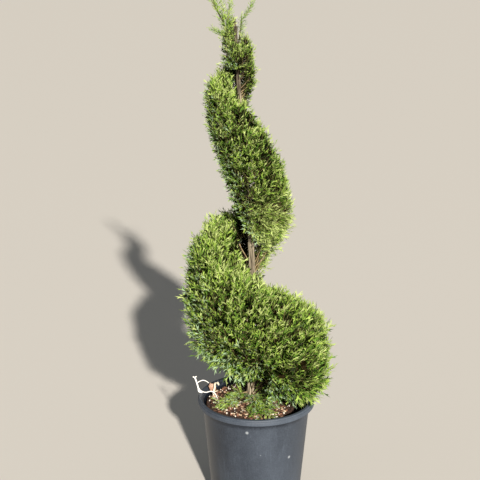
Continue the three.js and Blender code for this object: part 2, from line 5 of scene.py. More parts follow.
import bmesh
import bpy
import numpy as np
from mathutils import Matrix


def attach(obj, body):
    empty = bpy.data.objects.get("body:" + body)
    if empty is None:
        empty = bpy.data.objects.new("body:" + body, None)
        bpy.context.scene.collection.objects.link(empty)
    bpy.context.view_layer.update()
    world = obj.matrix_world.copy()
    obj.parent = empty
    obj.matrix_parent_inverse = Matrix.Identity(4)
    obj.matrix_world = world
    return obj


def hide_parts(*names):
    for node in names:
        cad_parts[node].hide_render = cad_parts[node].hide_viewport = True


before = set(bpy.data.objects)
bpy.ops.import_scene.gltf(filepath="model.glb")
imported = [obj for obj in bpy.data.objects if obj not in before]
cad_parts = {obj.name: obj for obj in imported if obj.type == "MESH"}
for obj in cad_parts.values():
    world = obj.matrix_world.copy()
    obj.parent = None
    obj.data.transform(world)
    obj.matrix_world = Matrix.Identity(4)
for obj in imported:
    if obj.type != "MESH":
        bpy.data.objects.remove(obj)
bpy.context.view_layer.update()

# Camera, floor and lights. The camera is at head height, two and a half metres in front, and looks down at the
# plant by 15.7 degrees. The light is a studio's: a strong lamp far off at the front right, a weak panel at the
# left, and a faint pale surround over a pale floor.
camera_place = (-0.042, -2.538, 1.421)
camera_down = math.radians(15.7)
focal_pixels = 1050
image_pixels = 480
floor_half = 60


def linear(colour):
    """An sRGB hex colour as linear red, green, blue and alpha."""
    srgb = np.array([int(colour[i : i + 2], 16) for i in (1, 3, 5)]) / 255
    light = np.where(srgb <= 0.04045, srgb / 12.92, ((srgb + 0.055) / 1.055) ** 2.4)
    return (*light.tolist(), 1)


def add(tree, kind, sockets=None, **settings):
    """Adds a node. Settings are its properties; a socket takes a value, or the output that feeds it."""
    node = tree.nodes.new(kind)
    for name, value in settings.items():
        setattr(node, name, value)
    for name, value in (sockets or {}).items():
        if isinstance(value, bpy.types.NodeSocket):
            tree.links.new(value, node.inputs[name])
        else:
            node.inputs[name].default_value = value
    return node


def new_material(name):
    """An empty material and its node tree."""
    material = bpy.data.materials.new(name)
    material.use_nodes = True
    material.node_tree.nodes.clear()
    return material, material.node_tree


def surface(tree, colour, roughness, **sockets):
    """The shader of a material, joined to its output. Names of other sockets have _ for a space."""
    sockets = {"Base Color": colour, "Roughness": roughness, **sockets}
    sockets = {name.replace("_", " "): value for name, value in sockets.items()}
    shader = add(tree, "ShaderNodeBsdfPrincipled", sockets)
    add(tree, "ShaderNodeOutputMaterial", {"Surface": shader.outputs[0]})


def put(name, data):
    """A new object in the scene."""
    thing = bpy.data.objects.new(name, data)
    bpy.context.scene.collection.objects.link(thing)
    return thing


camera = put("camera", bpy.data.cameras.new("camera"))
camera.data.sensor_width = 36
camera.data.sensor_fit = "HORIZONTAL"
camera.data.lens = camera.data.sensor_width * focal_pixels / image_pixels
camera.data.clip_end = 200
camera.location = camera_place
camera.rotation_euler = (math.pi / 2 - camera_down, 0, 0)
bpy.context.scene.camera = camera
bpy.context.scene.view_settings.view_transform = "Standard"

floor_corners = [(x * floor_half, y * floor_half, 0) for x, y in ((-1, -1), (1, -1), (1, 1), (-1, 1))]
floor_mesh = bpy.data.meshes.new("floor")
floor_mesh.from_pydata(floor_corners, [], [(0, 1, 2, 3)])
floor = put("floor", floor_mesh)
floor_paint, tree = new_material("pale_floor_paint")
surface(tree, linear("#d6d4cf"), 0.9, Specular_IOR_Level=0.1)
floor_mesh.materials.append(floor_paint)

lamps = [
    # name, place that it shines from, aimed at, power, angle across or None for a panel, width, colour
    ("key_lamp", (0.66, -3.1, 2.08), (0, 0, 0.6), 6.3, 2, None, "#fff6ea"),
    ("fill_lamp", (-2.6, -1.6, 1.5), (0, 0, 0.6), 3, None, 2.0, "#dfeaff"),
]
for name, place, aim, power, spread, width, colour in lamps:
    lamp = put(name, bpy.data.lights.new(name, "SUN" if spread else "AREA"))
    if spread:
        lamp.data.angle = math.radians(spread)
    else:
        lamp.data.size = width
    lamp.data.energy = power
    lamp.data.color = linear(colour)[:3]
    lamp.location = place
    x, y, z = np.array(aim) - np.array(place)
    lamp.rotation_euler = (math.acos(-z / math.hypot(x, y, z)), 0, math.atan2(y, x) - math.pi / 2)

surround = bpy.data.worlds.new("surround")
bpy.context.scene.world = surround
surround.use_nodes = True
background = surround.node_tree.nodes["Background"].inputs
background["Color"].default_value = linear("#eff1f1")
background["Strength"].default_value = 0.2

# Pot: a thin-walled round nursery pot of injection-moulded black polypropylene, wider at the top, with a turned-
# down rim that has a step near its top, and six drain holes in its floor. Satin, greyed by dust and scuffs, with
# painted light on its right side and painted shade just under the rim.
pot_height = 283
pot_foot_radius = 116
pot_top_radius = 141
pot_wall = 2.2
pot_floor = 3
rim_radius = 152.5
rim_drop = 14.5
rim_step = 2
rim_step_drop = 5
mouth_depth = 6
drain_holes = 6
drain_radius = 7
drain_circle = 88
pot_segments = 192


def make_piece(name, points, faces, material, slot, nodes, weld=False, values=None):
    """Puts points in millimetres (n, 3) and faces (m, corners) into a smooth mesh in metres that rides on the
    plant and stands for the CAD nodes. weld merges doubled points and turns the faces outwards. values holds
    a number for each point, by attribute name."""
    mesh = bpy.data.meshes.new(name)
    count, corners = faces.shape
    mesh.vertices.add(len(points))
    mesh.vertices.foreach_set("co", (np.asarray(points) * 0.001).astype(np.float32).ravel())
    mesh.loops.add(faces.size)
    mesh.loops.foreach_set("vertex_index", faces.astype(np.int32).ravel())
    mesh.polygons.add(count)
    mesh.polygons.foreach_set("loop_start", np.arange(0, faces.size, corners, dtype=np.int32))
    mesh.update(calc_edges=True)
    for label, numbers in (values or {}).items():
        layer = mesh.attributes.new(label, "FLOAT", "POINT")
        layer.data.foreach_set("value", np.asarray(numbers, np.float32).ravel())
    if weld:
        shell = bmesh.new()
        shell.from_mesh(mesh)
        bmesh.ops.remove_doubles(shell, verts=shell.verts, dist=2e-6)
        bmesh.ops.recalc_face_normals(shell, faces=shell.faces)
        shell.to_mesh(mesh)
        shell.free()
    mesh.polygons.foreach_set("use_smooth", np.ones(len(mesh.polygons), bool))
    mesh.materials.append(material)
    piece = put(name, mesh)
    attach(piece, "root")
    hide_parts(*nodes)
    return piece


def unit(vectors):
    """Vectors drawn to length 1."""
    return vectors / np.maximum(np.linalg.norm(vectors, axis=-1, keepdims=True), 1e-9)


def arcs(starts, corners, ends, steps):
    """Parabolas, (1 - t)^2 start + 2 t (1 - t) corner + t^2 end, in even steps of t."""
    t = np.linspace(0, 1, steps)[None, :, None]
    return (1 - t) ** 2 * starts[:, None] + 2 * t * (1 - t) * corners[:, None] + t**2 * ends[:, None]


def rounded(rows):
    """A profile from rows of radius, height and round, whose corners are turned by parabolas that start and end
    on the two sides, as far from the corner as its round."""
    corners, rounds = np.split(np.array(rows, float), [2], 1)
    before = unit(np.vstack([corners[:1], corners[:-1]]) - corners)
    after = unit(np.vstack([corners[1:], corners[-1:]]) - corners)
    return arcs(corners + before * rounds, corners, corners + after * rounds, 6).reshape(-1, 2)


def between_rings(rings, sides, first=0):
    """Four-cornered faces between rings of points, which follow one another from the first point on."""
    row = first + np.arange(rings - 1)[:, None] * sides
    here, beside = np.arange(sides), (np.arange(sides) + 1) % sides
    return np.stack([row + here, row + beside, row + sides + beside, row + sides + here], -1).reshape(-1, 4)


def copied(faces, count, corners):
    """The faces of a shape with so many corners, once for each of its copies."""
    return (faces[None] + (np.arange(count) * corners)[:, None, None]).reshape(-1, faces.shape[1])


def circle(angle, height=0):
    """Points on a circle of radius 1 about +Z."""
    return np.stack([np.cos(angle), np.sin(angle), height + 0 * angle], -1)


def revolve(profile, segments):
    """A profile of (radius, height) carried round +Z: x = radius cos a, y = radius sin a, z = height."""
    angle = np.arange(segments) / segments * 2 * np.pi
    radius, height = profile[:, :1], np.repeat(profile[:, 1:], segments, 1)
    points = np.stack([radius * np.cos(angle), radius * np.sin(angle), height], -1)
    return points.reshape(-1, 3), between_rings(len(profile), segments)


def pot_wall_radius(z):
    """The outside of the wall, a straight line from the foot's radius to the top's."""
    return pot_foot_radius + (pot_top_radius - pot_foot_radius) * z / pot_height


def object_place(tree):
    """The place on the object, in metres."""
    return add(tree, "ShaderNodeTexCoord").outputs["Object"]


def noisy(tree, scale, detail, roughness=0.5):
    """Soft noise from 0 to 1. The scale is in waves to a metre, one for all axes or one for each."""
    place = object_place(tree)
    if isinstance(scale, tuple):
        place = add(tree, "ShaderNodeMapping", {"Vector": place, "Scale": scale}).outputs[0]
        scale = 1
    sockets = {"Vector": place, "Scale": scale, "Detail": detail, "Roughness": roughness}
    return add(tree, "ShaderNodeTexNoise", sockets).outputs[0]


def ranged(tree, value, low, high, at_low=0, at_high=1):
    """A value carried evenly from low and high to the numbers at them, and held there outside."""
    return add(tree, "ShaderNodeMapRange", {0: value, 1: low, 2: high, 3: at_low, 4: at_high}).outputs[0]


def joined(tree, operation, first, second):
    """Two values in a sum, a product or the like."""
    return add(tree, "ShaderNodeMath", {0: first, 1: second}, operation=operation).outputs[0]


def mixed(tree, share, dark, pale):
    """A colour from dark to pale by a share. Each of the two is a hex colour or an output."""
    dark, pale = (linear(colour) if isinstance(colour, str) else colour for colour in (dark, pale))
    return add(tree, "ShaderNodeMix", {0: share, 6: dark, 7: pale}, data_type="RGBA").outputs[2]


def bumped(tree, height, strength, distance):
    """A fine relief, with its depth in metres."""
    return add(tree, "ShaderNodeBump", {"Height": height, "Strength": strength, "Distance": distance}).outputs[0]


rim_inside = rim_radius - pot_wall
rim_upper = rim_radius - rim_step
wall_top = pot_height - pot_wall
mouth_foot = pot_height - mouth_depth
pot_profile = rounded(
    [
        # radius, height, round of the corner
        (0, 0, 0),
        (pot_foot_radius - 3, 0, 1.2),
        (pot_foot_radius, 4, 1.8),
        (pot_wall_radius(wall_top - 1), wall_top - 1, 2.5),
        (rim_inside, wall_top - 1.6, 2.4),
        (rim_inside, pot_height - rim_drop, 0.7),
        (rim_radius, pot_height - rim_drop, 0.8),
        (rim_radius, pot_height - rim_step_drop, 1.2),
        (rim_upper, pot_height - rim_step_drop + 0.8, 0.5),
        (rim_upper, pot_height, 2.4),
        (pot_top_radius + 1, pot_height, 1.6),
        (pot_wall_radius(mouth_foot) - pot_wall, mouth_foot, 2),
        (pot_wall_radius(pot_floor) - pot_wall, pot_floor, 3),
        (0, pot_floor, 0),
    ]
)
plastic, tree = new_material("moulded_polypropylene")
place = object_place(tree)
# Dust lies in soft patches about 80 mm across, taller than wide
dust_and_painted_light = ranged(tree, noisy(tree, (12, 12, 7), 4, 0.55), 0.35, 0.75, 0.25, 0.6)
# Handling leaves faint scuffs about 2 mm wide and 25 mm tall, drawn as stretched noise cut off near its top
scuffs = ranged(tree, noisy(tree, (200, 200, 20), 3, 0.7), 0.56, 0.8, 0, 0.35)
# The right side is paler than the left: painted light, for the lamp at the right. The rim is paler than
# the wall beneath it, and a thin band on the wall just under the rim is darker: painted shade from the rim.
x, y, z = add(tree, "ShaderNodeSeparateXYZ", {0: place}).outputs
painted_light_on_right = ranged(tree, x, -0.13, 0.06, -0.3, 0.1)
on_rim = ranged(tree, z, 0.266, 0.27, 0, 0.9)
# Painted shade: a thin darker band on the wall just under the rim
painted_shade_under_rim = ranged(tree, z, 0.25, 0.262, 0, -0.5)
# The mould's dull mottling, about 3 mm across
mottling = ranged(tree, noisy(tree, 330, 2), 0.3, 0.7, -0.12, 0.12)
for share in (scuffs, painted_light_on_right, on_rim, painted_shade_under_rim, mottling):
    dust_and_painted_light = joined(tree, "ADD", dust_and_painted_light, share)
dust_and_painted_light = add(tree, "ShaderNodeClamp", {0: dust_and_painted_light}).outputs[0]
# Drops of dried lime a hand's width apart, and two larger spots on the front of the wall
drops = add(tree, "ShaderNodeTexVoronoi", {"Vector": place, "Scale": 14}).outputs["Distance"]
spots = ranged(tree, drops, 0.015, 0.03, 0.2, 0)
for spot in [(-0.0245, -0.1353, 0.2431), (0.0835, -0.0996, 0.1583)]:
    away = add(tree, "ShaderNodeVectorMath", {0: place, 1: spot}, operation="DISTANCE").outputs["Value"]
    spots = joined(tree, "MAXIMUM", spots, ranged(tree, away, 0.001, 0.0052, 0.55, 0))
spotted = mixed(tree, spots, mixed(tree, dust_and_painted_light, "#1a212c", "#505a68"), "#c4ccd2")
# The mould's own fine texture, about 1 mm apart
texture = bumped(tree, noisy(tree, 900, 2), 0.12, 0.0004)
surface(tree, spotted, ranged(tree, dust_and_painted_light, 0, 1, 0.36, 0.62), Normal=texture, IOR=1.49)
pot = make_piece("nursery_pot", *revolve(pot_profile, pot_segments), plastic, "pot_plastic", ["pot"], weld=True)

hole_angles = (np.arange(drain_holes) + 0.5) / drain_holes * 2 * np.pi
hole_centres = circle(hole_angles) * drain_circle
hole_points, hole_faces = revolve(np.array([(0, -10), (drain_radius, -10), (drain_radius, 12), (0, 12)], float), 32)
cutter_points = (hole_points[None] + hole_centres[:, None]).reshape(-1, 3)
cutter_faces = copied(hole_faces, drain_holes, len(hole_points))
cutter = make_piece("drain_cutter", cutter_points, cutter_faces, plastic, "pot_plastic", [], weld=True)
cut = pot.modifiers.new("drain_holes", "BOOLEAN")
cut.operation = "DIFFERENCE"
cut.solver = "EXACT"
cut.object = cutter
bored = bpy.data.meshes.new_from_object(pot.evaluated_get(bpy.context.evaluated_depsgraph_get()))
pot.modifiers.remove(cut)
pot.data = bored
bpy.data.objects.remove(cutter)

# Potting mix: a root ball of composted bark that has come away from the pot's front right side, with
# loose chips of bark, red-brown to tan, and white grains of perlite on its top.
mix_level = 267.7
mix_edge_level = 264
mix_offset = np.array([-15, 14, 0])
mix_flat = 30
mix_lean = 0.16
mix_lean_start = 30
mix_clearance = 1.2
mix_radius, mix_foot_radius = (
    pot_wall_radius(z) - pot_wall - np.hypot(*mix_offset[:2]) - mix_clearance for z in (mix_edge_level, pot_floor)
)
crumb_sizes = [(5, 9), (3, 3)]  # height and width of the lumps, and of the crumbs on them
crumb_drop = 5.5
chip_corners = 6
lattice_size = 64
lattice = np.random.default_rng(11).random((lattice_size, lattice_size))


def eased(t):
    """A smooth step from 0 to 1."""
    return t * t * (3 - 2 * t)


def noise(across, along, columns=lattice_size):
    """Random heights from 0 to 1 on a square lattice, blended between its points by smooth steps. It repeats
    after so many columns across, and after the lattice's size along."""
    column, row = np.floor(across).astype(int), np.floor(along).astype(int)
    s, t = eased(across - column), eased(along - row)
    near, far = row % lattice_size, (row + 1) % lattice_size
    left, right = column % columns, (column + 1) % columns
    lower = lattice[near, left] * (1 - s) + lattice[near, right] * s
    upper = lattice[far, left] * (1 - s) + lattice[far, right] * s
    return lower * (1 - t) + upper * t


def mix_top(x, y):
    """Height of the mix: level in the middle, falling evenly to its edge, and further to the front right."""
    radius = np.hypot(x - mix_offset[0], y - mix_offset[1])
    edge = pot_wall_radius(mix_edge_level) - pot_wall
    share = np.clip((radius - mix_flat) / (edge - mix_flat), 0, 1)
    lean = mix_lean * np.maximum((x - y) / 2**0.5 - mix_lean_start, 0)
    return mix_level + (mix_edge_level - mix_level) * share - lean


top_radii = np.linspace(mix_radius - 1, 0, 60)
mix_profile = np.vstack(
    [
        [(0, pot_floor + 0.3), (mix_foot_radius, pot_floor + 0.3), (mix_radius, mix_edge_level - 24)],
        np.stack([top_radii, mix_level + (mix_edge_level - mix_level) * top_radii / mix_radius], -1),
    ]
)
mix_points, mix_faces = revolve(mix_profile, 180)
x, y, z = mix_points.T
on_top = z > mix_edge_level - 1
crumbs = sum(height * noise(x / width, y / width) for height, width in crumb_sizes)
mix_points += mix_offset
mix_points[:, 2] = np.where(on_top, mix_top(x, y) + crumbs - crumb_drop, z)

compost, tree = new_material("composted_bark")
# Crumbs 4 mm across, from near black to red-brown
crumb = add(tree, "ShaderNodeTexVoronoi", {"Vector": object_place(tree), "Scale": 250}).outputs
crumb_tone = add(tree, "ShaderNodeSeparateColor", {0: crumb["Color"]}).outputs[0]
crumb_bump = bumped(tree, crumb["Distance"], 0.8, 0.002)
surface(tree, mixed(tree, crumb_tone, "#1e140e", "#573d2f"), 0.95, Normal=crumb_bump)
make_piece("root_ball", mix_points, mix_faces, compost, "potting_mix", ["potting_mix"], weld=True)


def square_to(axis, vectors):
    """The parts of vectors that are square to an axis of length 1, drawn to length 1."""
    return unit(vectors - axis * np.sum(vectors * axis, -1, keepdims=True))


def turned_frames(rng, count, tilt):
    """Three axes for each small thing: its length in any direction along the ground, then tipped by up to the
    tilt about a random level axis."""
    heading = rng.random(count) * 2 * np.pi
    lean = (rng.random((count, 2)) - 0.5) * 2 * np.sin(tilt)
    upward = unit(np.column_stack([lean, np.ones(count)]))
    along = square_to(upward, circle(heading))
    return along, np.cross(upward, along), upward


def strewn(rng, count, reach):
    """Places on the top of the mix, even over a disc of that reach."""
    radius, angle = reach * np.sqrt(rng.random(count)), rng.random(count) * 2 * np.pi
    x, y = radius * np.cos(angle) + mix_offset[0], radius * np.sin(angle) + mix_offset[1]
    return np.column_stack([x, y, mix_top(x, y)])


def chips(rng, places, sizes, axes):
    """Flakes of bark: two uneven six-sided outlines, the upper one smaller, with a strip of sides between.
    Each is stretched to its length, width and thickness along its three axes. Returns points and triangles."""
    count = len(places)
    angle = np.arange(chip_corners) / chip_corners * 2 * np.pi
    rough = 0.75 + 0.5 * rng.random((count, 2, chip_corners))
    rough[:, 1] *= 0.8
    flat = rough[..., None] * circle(angle)[:, :2] * sizes[:, None, None, :2] / 2
    along, across, upward = (axis[:, None, None] for axis in axes)
    level = np.array([-0.5, 0.5])[None, :, None, None] * sizes[:, None, None, 2:]
    points = places[:, None, None] + flat[..., :1] * along + flat[..., 1:] * across + level * upward
    sides = between_rings(2, chip_corners)
    fan = np.array([(0, 2, 1), (0, 3, 2), (0, 4, 3), (0, 5, 4)])
    template = np.vstack([sides[:, :3], sides[:, [0, 2, 3]], fan, fan[:, ::-1] + chip_corners])
    return points.reshape(-1, 3), copied(template, count, 2 * chip_corners)


def bark_chip_material(name, dark, pale):
    """Weathered bark: fibres 1 mm wide and 8 mm long, in patches 11 mm across, from a dark to a pale tone."""
    material, tree = new_material(name)
    grain = noisy(tree, (120, 900, 900), 3)
    tone = joined(tree, "MULTIPLY", grain, noisy(tree, 90, 1))
    colour = mixed(tree, ranged(tree, tone, 0.14, 0.4), dark, pale)
    surface(tree, colour, 0.85, Normal=bumped(tree, grain, 0.5, 0.001))
    return material


chip_sizes = [(6, 10), (3.5, 5), (1.2, 2)]  # least length, width and thickness, and what chance adds
chip_kinds = [
    # name, number, dark tone, pale tone
    ("chips_dark_bark", 400, "#241812", "#66462f"),
    ("chips_red_bark", 300, "#643f30", "#a97c64"),
    ("chips_tan_bark", 230, "#a88c6c", "#e4d4ba"),
]
# Left and right edges of the strip behind the trunk's foot kept dark as painted shade
painted_shade_left = -78
painted_shade_right = -10
for seed, (name, count, dark, pale) in enumerate(chip_kinds):
    rng = np.random.default_rng(20 + seed)
    sizes = np.column_stack([least + more * rng.random(count) for least, more in chip_sizes])
    places = strewn(rng, count, mix_radius - 9)
    places[:, 2] += 0.8 + 2 * rng.random(count)
    # Behind the trunk's foot on the left only dark bark lies on the compost: painted shade, for the foliage's shadow
    # there
    x, y, z = places.T
    placed = (name == "chips_dark_bark") | (x < painted_shade_left) | (x > painted_shade_right) | (y < 0)
    frames = turned_frames(rng, count, 0.6)
    points, faces = chips(rng, places[placed], sizes[placed], [axes[placed] for axes in frames])
    make_piece(name, points, faces, bark_chip_material(name, dark, pale), "potting_mix", ["potting_mix"])

# Larger flakes: three lie on the mix, and the last leans on the rim at the left, behind the tie
rng = np.random.default_rng(31)
flake_places = np.array([(-80, -18, 266), (62, -88, 263.5), (-108, 30, 271), (-116, 44, 288)], float)
flake_sizes = np.array([(22, 12, 2.2), (20, 11, 2.2), (26, 15, 2.6), (32, 20, 3)], float)
leaning_axes = [(-0.37, 0.3, 0.88), (0.9, 0.35, 0.26), (-0.23, -0.89, 0.4)]
flake_axes = [np.vstack([axis, leaning]) for axis, leaning in zip(turned_frames(rng, 3, 0.3), leaning_axes)]
flakes = bark_chip_material("large_bark_flakes", "#a2765e", "#e0bda6")
make_piece("bark_flakes", *chips(rng, flake_places, flake_sizes, flake_axes), flakes, "potting_mix", ["potting_mix"])

# Perlite: white pitted grains, icosahedra whose corners are moved in and out by chance
perlite, tree = new_material("expanded_perlite")
surface(tree, linear("#e9e4d8"), 0.9, Normal=bumped(tree, noisy(tree, 1400, 2), 0.6, 0.0006))
rng = np.random.default_rng(41)
grain_count = 190
grain_size = 2.6 + 4 * rng.random(grain_count) ** 2
golden = (1 + 5**0.5) / 2
corner = np.array([(-1, golden, 0), (1, golden, 0), (-1, -golden, 0), (1, -golden, 0)], float)
corner = np.vstack([corner, np.roll(corner, 1, 1), np.roll(corner, 2, 1)]) / np.hypot(1, golden)
ball = bmesh.new()
ball_corners = [ball.verts.new(point) for point in corner]
bmesh.ops.convex_hull(ball, input=ball_corners)
ball.verts.index_update()
ball_faces = np.array([[vertex.index for vertex in face.verts] for face in ball.faces])
ball.free()
lump = corner[None] * (0.7 + 0.5 * rng.random((grain_count, len(corner), 1))) * grain_size[:, None, None] / 2
grain_places = strewn(rng, grain_count, mix_radius - 5) + np.array([0, 0, 1.6])
grain_points = (grain_places[:, None] + lump).reshape(-1, 3)
grain_faces = copied(ball_faces, grain_count, len(corner))
make_piece("perlite_grains", grain_points, grain_faces, perlite, "potting_mix", ["potting_mix"])

# Tie: a strap of white polyethylene. Its spine stands on the rim at the left under a short crossbar, and two
# thin strands leave it: one stands free, and the other runs down to the mix. Each is an oval 2 mm thick.
tie_half_depth = 1.0
tie_on_rim = pot_height + 0.3 + tie_half_depth
tie_strands = [
    # half width, line
    (1.6, [(-166, 20, 329), (-161, 20, 327), (-156, 20, 330)]),
    (2.1, [(-161, 20, 328), (-155.5, 20, 311), (-152, 20, 297), (-150, 20, 287),
           (-145, 20, tie_on_rim + 0.6), (-141, 20, tie_on_rim)]),
    (1.2, [(-155.5, 20, 311), (-147, 21, 316), (-139, 22, 318), (-130, 24, 314), (-124, 25, 309)]),
    (1.3, [(-154, 20, 303), (-146, 20, 290), (-133, 20, 284.5), (-118, 21, 287), (-108, 20, 281), (-101, 14, 268)]),
]


def follow(rows, at):
    """Values at places along a table whose first column is the place: a cubic in each gap, with the slope at
    each row the mean of the slopes of the two gaps beside it."""
    rows, at = np.asarray(rows, float), np.asarray(at, float)
    places, values = rows[:, 0], rows[:, 1:]
    slopes = np.diff(values, axis=0) / np.diff(places)[:, None]
    slopes = np.vstack([slopes[:1], (slopes[1:] + slopes[:-1]) / 2, slopes[-1:]])
    at = np.clip(at, places[0], places[-1])
    gap = np.clip(np.searchsorted(places, at, side="right") - 1, 0, len(places) - 2)
    width = np.diff(places)[gap][..., None]
    t = (at - places[gap])[..., None] / width
    rise = (1 - t) ** 2 * ((1 + 2 * t) * values[gap] + t * width * slopes[gap])
    return rise + t**2 * ((3 - 2 * t) * values[gap + 1] + (t - 1) * width * slopes[gap + 1])


def path_through(points, steps):
    """A smooth path through points, in even steps of the distance along them."""
    points = np.array(points, float)
    distance = np.concatenate([[0], np.cumsum(np.linalg.norm(np.diff(points, axis=0), axis=1))])
    return follow(np.column_stack([distance, points]), np.linspace(0, distance[-1], steps))


def tubes(paths, radii, sides, relief=0):
    """Round limbs along paths (limbs, steps, 3) with radii (limbs, steps). At each step a ring stands square to
    the path: centre + (radius + relief) (normal cos a + binormal sin a). Both ends close on a middle point."""
    limbs, steps = radii.shape
    tangent = unit(np.gradient(paths, axis=1))
    chord = unit(paths[:, -1] - paths[:, 0])
    guide = np.where(np.abs(chord[:, 2:]) > 0.8, [[1.0, 0, 0]], [[0, 0, 1.0]])[:, None]
    normal = square_to(tangent, guide)
    binormal = np.cross(tangent, normal)
    angle = (np.arange(sides) / sides * 2 * np.pi)[None, None, :, None]
    spread = (radii[..., None] + relief)[..., None]
    ring = normal[:, :, None] * np.cos(angle) + binormal[:, :, None] * np.sin(angle)
    rings = (paths[:, :, None] + spread * ring).reshape(limbs, -1, 3)
    points = np.concatenate([paths[:, :1], rings, paths[:, -1:]], 1)
    faces = between_rings(steps, sides, 1)
    last = steps * sides + 1
    first_cap = np.column_stack([np.zeros(sides, int), faces[:sides, 1], faces[:sides, 0]])
    last_cap = np.column_stack([np.full(sides, last), faces[-sides:, 3], faces[-sides:, 2]])
    template = np.vstack([faces[:, :3], faces[:, [0, 2, 3]], first_cap, last_cap])
    return points.reshape(-1, 3), copied(template, limbs, last + 1)


def straps(paths, half_widths, half_depth):
    """Tubes with an oval ring, whose radius at angle a is w d / sqrt((d cos a)^2 + (w sin a)^2). Each closes
    in over its first and last twentieth."""
    sides = 14
    angle = np.arange(sides) / sides * 2 * np.pi
    wide = np.asarray(half_widths, float)[:, None]
    oval = wide * half_depth / np.hypot(half_depth * np.cos(angle), wide * np.sin(angle))
    end = np.minimum(1, 0.6 + 8 * (0.5 - np.abs(np.linspace(-0.5, 0.5, paths.shape[1]))))
    return tubes(paths, np.zeros(paths.shape[:2]), sides, oval[:, None] * end[:, None])


tie_half_widths, tie_lines = zip(*tie_strands)
tie_paths = np.stack([path_through(line, 50) for line in tie_lines])
polyethylene, tree = new_material("white_polyethylene")
# Handling dulls it in patches about 8 mm long
grime = ranged(tree, noisy(tree, 120, 2), 0.5, 0.8, 0, 0.4)
surface(tree, mixed(tree, grime, "#f8f8f5", "#cfccc2"), 0.42, IOR=1.51)
make_piece("rim_strap", *straps(tie_paths, tie_half_widths, tie_half_depth), polyethylene, "tie_plastic", ["rim_tie"])

# Dry strip: a pale shred of bark fibre that curls up from the mix beside the tie
dry_line = [(-98, 40, 296), (-102, 40, 303), (-108, 40, 300), (-109, 38, 290), (-112, 34, 280), (-110, 27, 271),
            (-102, 20, 266)]
dry_fibre, tree = new_material("dry_bark_fibre")
surface(tree, linear("#e6dcc6"), 0.8)
dry_strip = straps(path_through(dry_line, 50)[None], [3], 0.6)
make_piece("dry_strip", *dry_strip, dry_fibre, "potting_mix", ["potting_mix"])

# Trunk: one upright stem with a root flare, bare between the coils. Its bark is thin and fibrous, greyish tan,
# and splits into narrow upright strips with dark furrows between them.
trunk_foot = 268
trunk_tip = 1233
trunk_line = [
    # height, x, y
    (240, -13, 20),
    (460, -13, 20),
    (674, -13, 20),
    (900, -29, 20),
    (1105, -46, 20),
    (1203, -52, 20),
    (1300, -48, 20),
]
trunk_foot_radius = 10.5
trunk_tip_radius = 4
trunk_girth = 2 * np.pi * 8.5
trunk_sides = 72
flare_spread = 6
flare_height = 14
strip_width = 3.2
strip_length = 46
trunk_bark_depth = 1.7
bark_sunk = 0.6  # height in the relief that lies on the limb's radius


def on_axis(z):
    """Points on the trunk's centre line."""
    return np.column_stack([follow(trunk_line, z), z])


def trunk_radius(z):
    """An even taper from foot to tip, with a flare that fades upwards from the foot."""
    share = np.clip((z - trunk_foot) / (trunk_tip - trunk_foot), 0, 1)
    taper = trunk_foot_radius + (trunk_tip_radius - trunk_foot_radius) * share
    return taper + flare_spread * np.exp(-np.maximum(z - trunk_foot, 0) / flare_height)


def bark_relief(angle_share, distance, girth, seed):
    """Furrows of bark from 0 in a furrow to 1 on a strip: lattice noise as wide as a strip and as long, folded
    about its middle so that it has sharp valleys, with finer noise added."""
    strips = max(6, round(girth / strip_width))
    wander = 0.9 * noise(0 * distance + seed, distance / 90)
    across = angle_share * strips + wander + seed
    coarse = 1 - np.abs(2 * noise(across, distance / strip_length + seed, strips) - 1)
    fine = noise(across * 3, distance / 9 + seed, strips * 3)
    return np.clip(1.25 - coarse, 0, 1) * 0.75 + 0.25 * fine


trunk_heights = np.linspace(trunk_foot, trunk_tip, 620)
side_share = np.arange(trunk_sides) / trunk_sides
relief = bark_relief(side_share[None], trunk_heights[:, None], trunk_girth, 3)

bark, tree = new_material("fibrous_bark")
depth = add(tree, "ShaderNodeAttribute", attribute_name="bark_height").outputs["Fac"]
# Fibres about 0.7 mm wide and 12 mm long, drawn over the strips
fibre = noisy(tree, (1400, 1400, 80), 3)
tone = joined(tree, "ADD", depth, joined(tree, "MULTIPLY", fibre, 0.35))
# The young bark above a metre is darker
x, y, z = add(tree, "ShaderNodeSeparateXYZ", {0: object_place(tree)}).outputs
tone = joined(tree, "ADD", tone, ranged(tree, z, 1.02, 1.12, 0, -0.4))
bark_colour = mixed(tree, ranged(tree, tone, 0.42, 1.0), "#352c1f", "#ada28a")
surface(tree, bark_colour, 0.9, Normal=bumped(tree, fibre, 0.5, 0.0008))


def make_bark(name, nodes, paths, radii, relief, depth):
    """Limbs in bark whose relief (limbs, steps, sides) goes from 0 in a furrow to 1 on a strip."""
    limbs = tubes(paths, radii, relief.shape[2], (relief - bark_sunk) * depth)
    ends = np.full((len(relief), 1), 0.5)
    furrow = np.concatenate([ends, relief.reshape(len(relief), -1), ends], 1)
    make_piece(name, *limbs, bark, "bark", nodes, values={"bark_height": furrow})


trunk_limb = on_axis(trunk_heights)[None], trunk_radius(trunk_heights)[None]
make_bark("trunk_bark", ["trunk"], *trunk_limb, relief[None], trunk_bark_depth)

